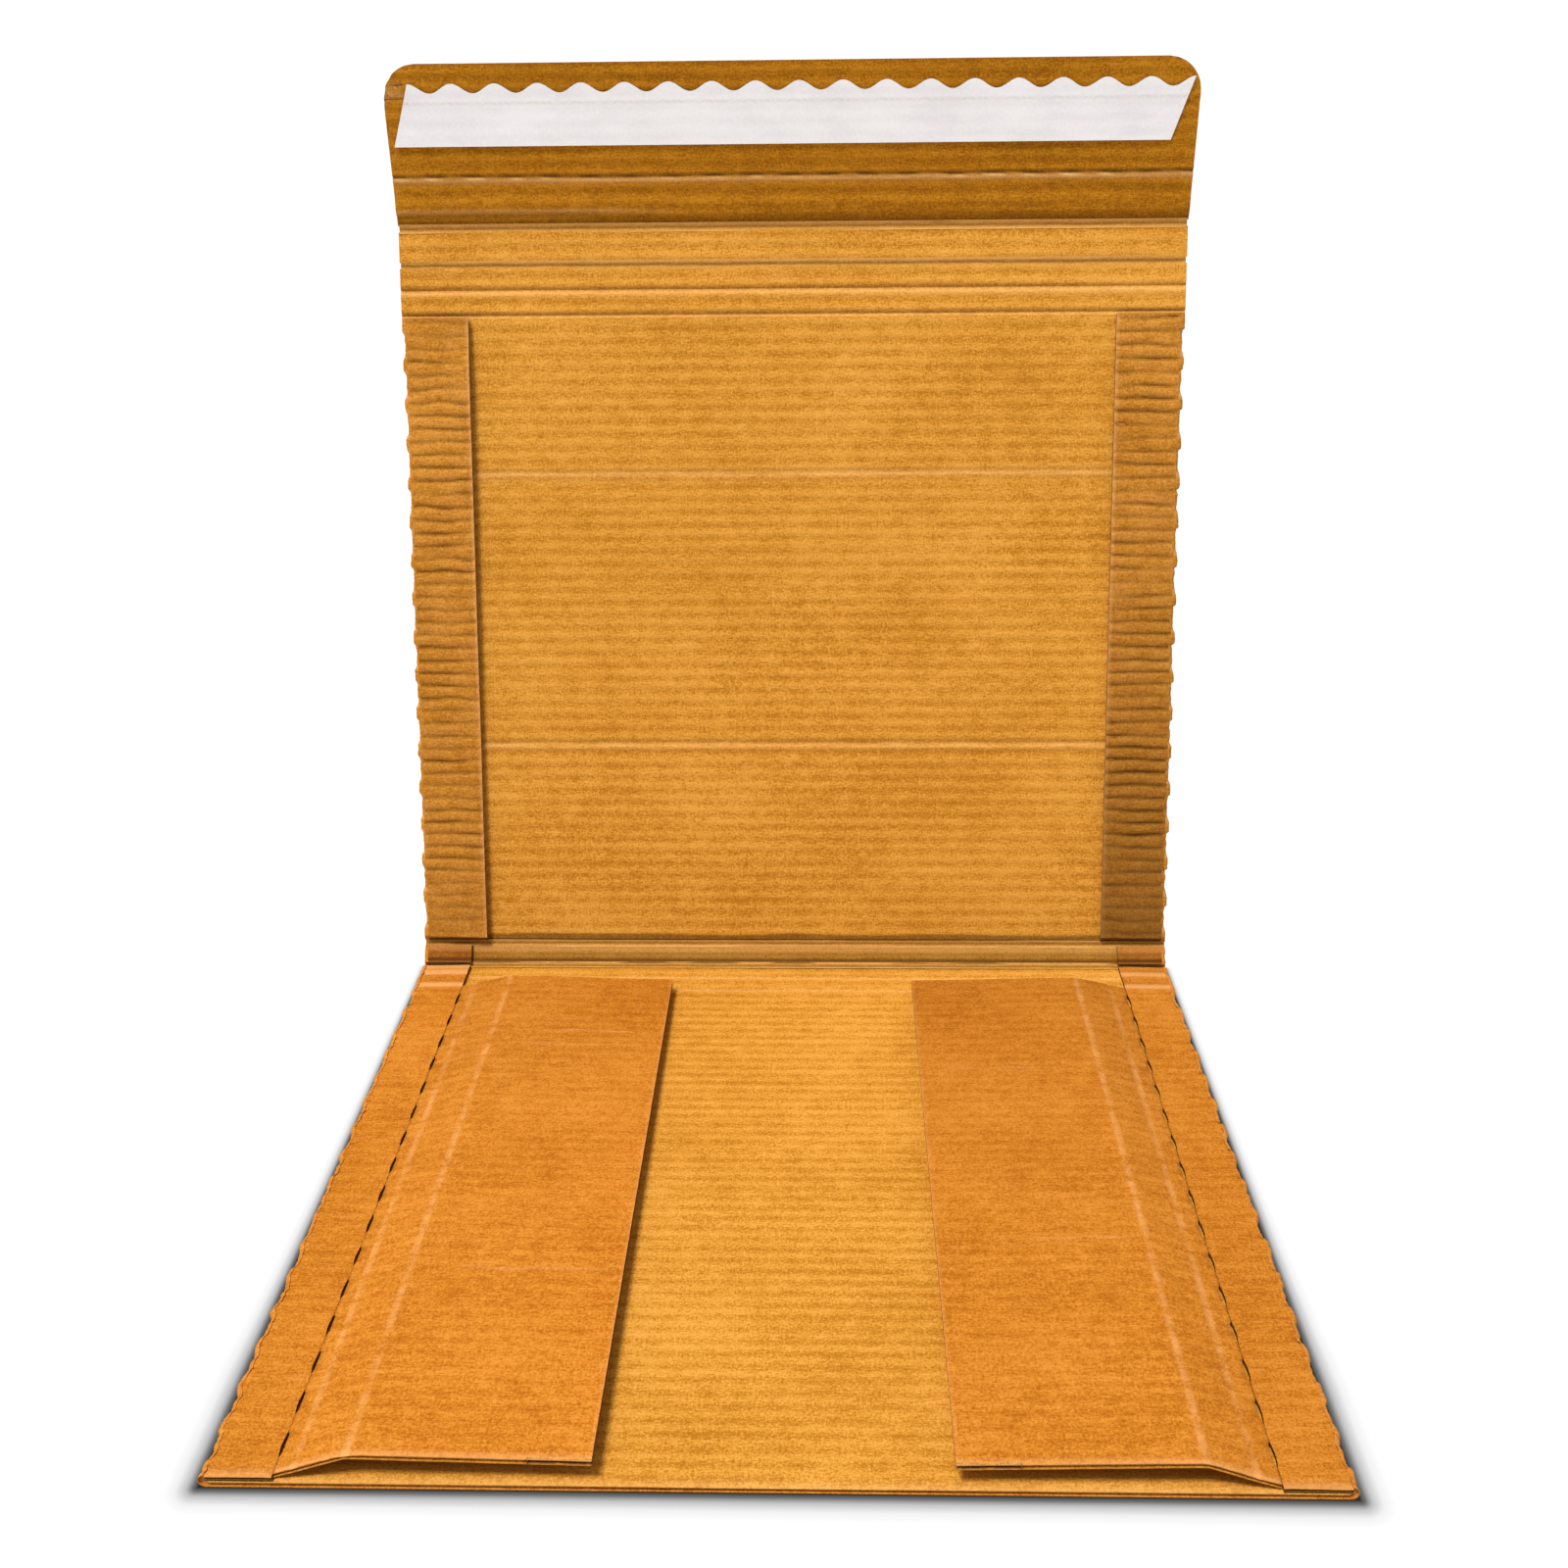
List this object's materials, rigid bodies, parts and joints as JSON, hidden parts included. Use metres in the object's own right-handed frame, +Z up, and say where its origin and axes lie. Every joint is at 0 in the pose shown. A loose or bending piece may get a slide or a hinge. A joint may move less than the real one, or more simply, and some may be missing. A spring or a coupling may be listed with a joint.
{
  "type": "record mailer box",
  "caption": "Open corrugated record mailer: flat base with folded side bands and two side wings, lid leaning back on a creased back strip, closure flap with adhesive strip and release liner.",
  "frame": {"origin": "middle of the footprint of the opened mailer, on the surface it stands on", "axes": "+X to the right across the mailer and along the flutes, +Y away from the viewer from the front edge of the base to the lid, +Z up"},
  "size_m": [0.433, 0.4994, 0.4866],
  "materials": {
    "kraft_inner": "matte uncoated kraft board",
    "kraft_wing": "matte uncoated kraft board",
    "adhesive": "thin tacky film",
    "liner_paper": "smooth siliconised white paper"
  },
  "bodies": {
    "base": {"base_panel": "kraft_inner"},
    "back": {"back_strip": "kraft_inner"},
    "lid": {"lid_panel": "kraft_inner"},
    "front": {"front_strip": "kraft_inner"},
    "flap": {"closure_flap": "kraft_inner", "adhesive_strip": "adhesive", "release_liner": "liner_paper"},
    "wing_left": {"left_wing": "kraft_wing"},
    "wing_right": {"right_wing": "kraft_wing"}
  },
  "joints": [
    {"name": "back_fold", "type": "hinge", "parent": "base", "child": "back", "pos_m": [0, 0.13231, 0.003], "axis": [1, 0, 0], "range_deg": [-52, 36]},
    {"name": "lid_fold", "type": "hinge", "parent": "back", "child": "lid", "pos_m": [0, 0.14024, 0.01392], "axis": [1, 0, 0], "range_deg": [-20.7, 69.3]},
    {"name": "front_fold", "type": "hinge", "parent": "lid", "child": "front", "pos_m": [0, 0.24157, 0.38431], "axis": [1, 0, 0], "range_deg": [0, 90]},
    {"name": "flap_fold", "type": "hinge", "parent": "front", "child": "flap", "pos_m": [0, 0.24671, 0.40312], "axis": [1, 0, 0], "range_deg": [-19.3, 70.7]},
    {"name": "left_wing_fold", "type": "hinge", "parent": "base", "child": "wing_left", "pos_m": [-0.188, -0.07219, 0.006], "axis": [0, -1, 0], "range_deg": [-2, 157]},
    {"name": "right_wing_fold", "type": "hinge", "parent": "base", "child": "wing_right", "pos_m": [0.188, -0.07219, 0.006], "axis": [0, 1, 0], "range_deg": [-2, 157]}
  ]
}
